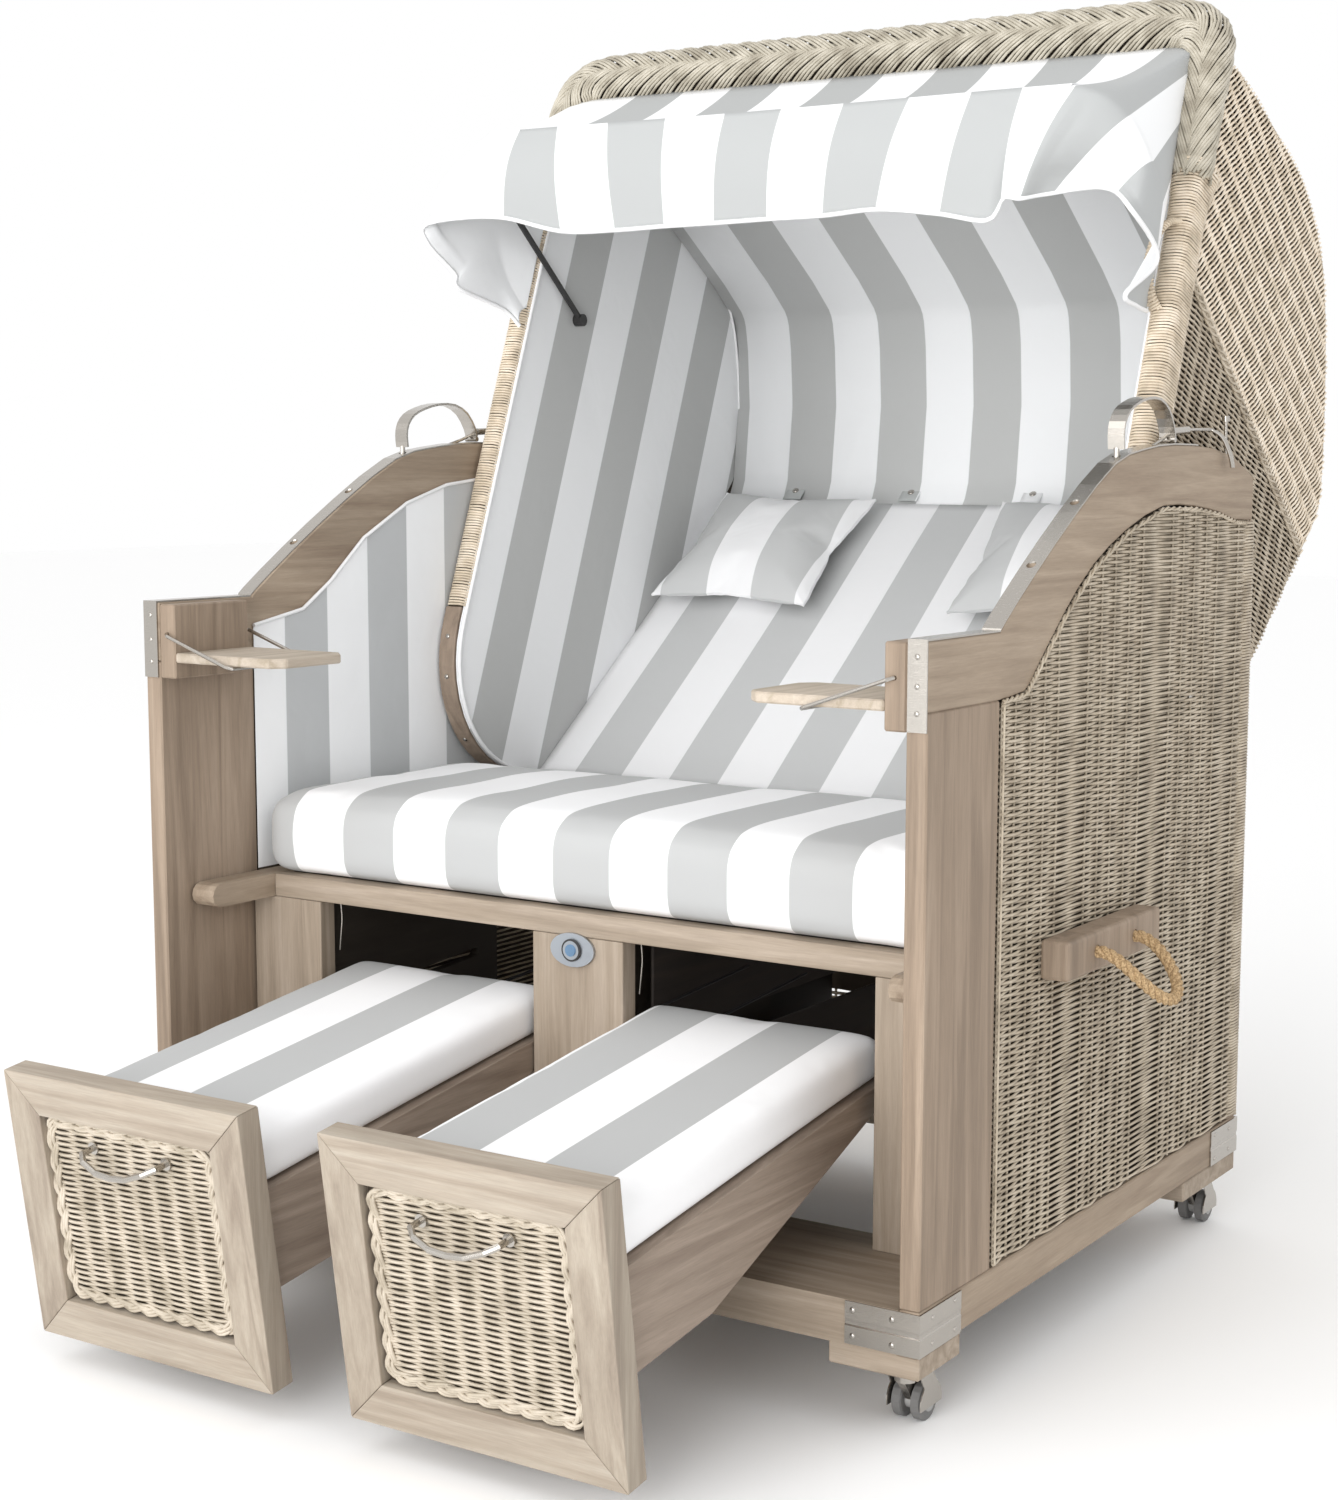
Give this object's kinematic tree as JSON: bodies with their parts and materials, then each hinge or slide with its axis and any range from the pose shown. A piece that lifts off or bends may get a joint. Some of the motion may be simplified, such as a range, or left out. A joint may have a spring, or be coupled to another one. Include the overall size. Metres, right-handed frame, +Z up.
{
  "type": "hooded_beach_chair",
  "caption": "Two-seat hooded beach chair with reclining wicker hood, striped cushions, awning, pull-out footrests, folding side tables, rope handles and swivel casters.",
  "frame": {"origin": "centre of the bounding box in plan, on the floor under the casters", "axes": "+X to the right of someone facing the chair, +Y to the back, +Z up; the chair's open side faces -Y"},
  "size_m": [1.4514, 1.8169, 1.7515],
  "materials": {
    "washed_teak": "washed grey-brown, open grain, matt",
    "wicker": "woven synthetic cane, beige-greige, satin",
    "striped_cloth": "light grey and white stripes with white piping",
    "steel": "polished steel strip and rod",
    "black_metal": "black coated bar, matt",
    "rope": "tan three-strand rope",
    "tread": "grey soft tread, matt"
  },
  "bodies": {
    "chair_frame": {"front_post_left": "washed_teak", "front_post_right": "washed_teak", "armrest_left": "washed_teak", "armrest_right": "washed_teak", "side_bottom_rail_left": "washed_teak", "side_bottom_rail_right": "washed_teak", "rear_post_left": "washed_teak", "rear_post_right": "washed_teak", "side_panel_left": "wicker", "side_panel_right": "wicker", "back_panel": "wicker", "front_bottom_rail": "washed_teak", "rear_bottom_rail": "washed_teak", "seat_front_frame": "washed_teak", "seat_deck": "washed_teak", "rope_block_left": "washed_teak", "rope_block_right": "washed_teak", "table_mount_left": "washed_teak", "table_mount_right": "washed_teak", "seat_lock": "steel", "corner_bracket_front_left": "steel", "corner_bracket_front_right": "steel", "corner_bracket_rear_left": "steel", "corner_bracket_rear_right": "steel", "arm_strap_left": "steel", "arm_strap_right": "steel", "rope_handle_left": "rope", "rope_handle_right": "rope", "seat_cushion": "striped_cloth"},
    "footrest_rod_body_left": {"footrest_rod_left": "steel"},
    "footrest_body_left": {"footrest_box_left": "washed_teak", "footrest_weave_left": "wicker", "footrest_pull_left": "steel", "footrest_cushion_left": "striped_cloth"},
    "table_leaf_body_left": {"table_leaf_left": "washed_teak"},
    "table_stay_body_left": {"table_stay_left": "steel"},
    "latch_body_left": {"latch_left": "steel"},
    "caster_fork_body_front_left": {"caster_fork_front_left": "steel"},
    "caster_wheels_body_front_left": {"caster_wheels_front_left": "tread"},
    "caster_fork_body_rear_left": {"caster_fork_rear_left": "steel"},
    "caster_wheels_body_rear_left": {"caster_wheels_rear_left": "tread"},
    "footrest_rod_body_right": {"footrest_rod_right": "steel"},
    "footrest_body_right": {"footrest_box_right": "washed_teak", "footrest_weave_right": "wicker", "footrest_pull_right": "steel", "footrest_cushion_right": "striped_cloth"},
    "table_leaf_body_right": {"table_leaf_right": "washed_teak"},
    "table_stay_body_right": {"table_stay_right": "steel"},
    "latch_body_right": {"latch_right": "steel"},
    "caster_fork_body_front_right": {"caster_fork_front_right": "steel"},
    "caster_wheels_body_front_right": {"caster_wheels_front_right": "tread"},
    "caster_fork_body_rear_right": {"caster_fork_rear_right": "steel"},
    "caster_wheels_body_rear_right": {"caster_wheels_rear_right": "tread"},
    "hood_body": {"hood_frame": "wicker", "hood_shell": "wicker", "backrest": "striped_cloth", "pillow_left": "striped_cloth", "pillow_right": "striped_cloth", "awning": "striped_cloth"},
    "awning_bail_body": {"awning_bail": "black_metal"}
  },
  "joints": [
    {"name": "footrest_slide_left", "type": "slide", "parent": "chair_frame", "child": "footrest_rod_body_left", "axis": [0, 0.9969, 0.0785], "range_m": [0, 0.31]},
    {"name": "footrest_lift_left", "type": "hinge", "parent": "footrest_rod_body_left", "child": "footrest_body_left", "pos_m": [-0.2518, -0.2804, 0.3412], "axis": [-1, 0, 0], "range_deg": [0, 8]},
    {"name": "table_leaf_hinge_left", "type": "hinge", "parent": "chair_frame", "child": "table_leaf_body_left", "pos_m": [-0.5444, -0.424, 0.855], "axis": [0, -1, 0], "range_deg": [0, 90]},
    {"name": "table_stay_hinge_left", "type": "hinge", "parent": "chair_frame", "child": "table_stay_body_left", "pos_m": [-0.5577, -0.424, 0.88], "axis": [0, -1, 0], "range_deg": [0, 78]},
    {"name": "latch_hinge_left", "type": "hinge", "parent": "chair_frame", "child": "latch_body_left", "pos_m": [-0.58745, 0.19611, 1.14688], "axis": [-1, 0, 0], "range_deg": [0, 35]},
    {"name": "caster_swivel_front_left", "type": "hinge", "parent": "chair_frame", "child": "caster_fork_body_front_left", "pos_m": [-0.552, -0.434, 0.078], "axis": [0, 0, 1], "continuous": true},
    {"name": "caster_roll_front_left", "type": "hinge", "parent": "caster_fork_body_front_left", "child": "caster_wheels_body_front_left", "pos_m": [-0.552, -0.414, 0.023], "axis": [1, 0, 0], "continuous": true},
    {"name": "caster_swivel_rear_left", "type": "hinge", "parent": "chair_frame", "child": "caster_fork_body_rear_left", "pos_m": [-0.552, 0.446, 0.078], "axis": [0, 0, 1], "continuous": true},
    {"name": "caster_roll_rear_left", "type": "hinge", "parent": "caster_fork_body_rear_left", "child": "caster_wheels_body_rear_left", "pos_m": [-0.552, 0.466, 0.023], "axis": [1, 0, 0], "continuous": true},
    {"name": "footrest_slide_right", "type": "slide", "parent": "chair_frame", "child": "footrest_rod_body_right", "axis": [0, 0.9969, 0.0785], "range_m": [0, 0.31]},
    {"name": "footrest_lift_right", "type": "hinge", "parent": "footrest_rod_body_right", "child": "footrest_body_right", "pos_m": [0.2518, -0.2804, 0.3412], "axis": [-1, 0, 0], "range_deg": [0, 8]},
    {"name": "table_leaf_hinge_right", "type": "hinge", "parent": "chair_frame", "child": "table_leaf_body_right", "pos_m": [0.5444, -0.424, 0.855], "axis": [0, 1, 0], "range_deg": [0, 90]},
    {"name": "table_stay_hinge_right", "type": "hinge", "parent": "chair_frame", "child": "table_stay_body_right", "pos_m": [0.5577, -0.424, 0.88], "axis": [0, 1, 0], "range_deg": [0, 78]},
    {"name": "latch_hinge_right", "type": "hinge", "parent": "chair_frame", "child": "latch_body_right", "pos_m": [0.58745, 0.19611, 1.14688], "axis": [-1, 0, 0], "range_deg": [0, 35]},
    {"name": "caster_swivel_front_right", "type": "hinge", "parent": "chair_frame", "child": "caster_fork_body_front_right", "pos_m": [0.552, -0.434, 0.078], "axis": [0, 0, 1], "continuous": true},
    {"name": "caster_roll_front_right", "type": "hinge", "parent": "caster_fork_body_front_right", "child": "caster_wheels_body_front_right", "pos_m": [0.552, -0.414, 0.023], "axis": [1, 0, 0], "continuous": true},
    {"name": "caster_swivel_rear_right", "type": "hinge", "parent": "chair_frame", "child": "caster_fork_body_rear_right", "pos_m": [0.552, 0.446, 0.078], "axis": [0, 0, 1], "continuous": true},
    {"name": "caster_roll_rear_right", "type": "hinge", "parent": "caster_fork_body_rear_right", "child": "caster_wheels_body_rear_right", "pos_m": [0.552, 0.466, 0.023], "axis": [1, 0, 0], "continuous": true},
    {"name": "hood_recline", "type": "hinge", "parent": "chair_frame", "child": "hood_body", "pos_m": [0, 0.271, 0.8], "axis": [1, 0, 0], "range_deg": [-15, 26]},
    {"name": "awning_lift", "type": "hinge", "parent": "hood_body", "child": "awning_bail_body", "pos_m": [0, 0.3997, 1.34078], "axis": [-1, 0, 0], "range_deg": [-25, 40], "deforming": ["awning"]}
  ],
  "couplings": [
    {"joint": "table_stay_hinge_left", "follows": "table_leaf_hinge_left", "ratio": 0.85},
    {"joint": "table_stay_hinge_right", "follows": "table_leaf_hinge_right", "ratio": 0.85}
  ]
}
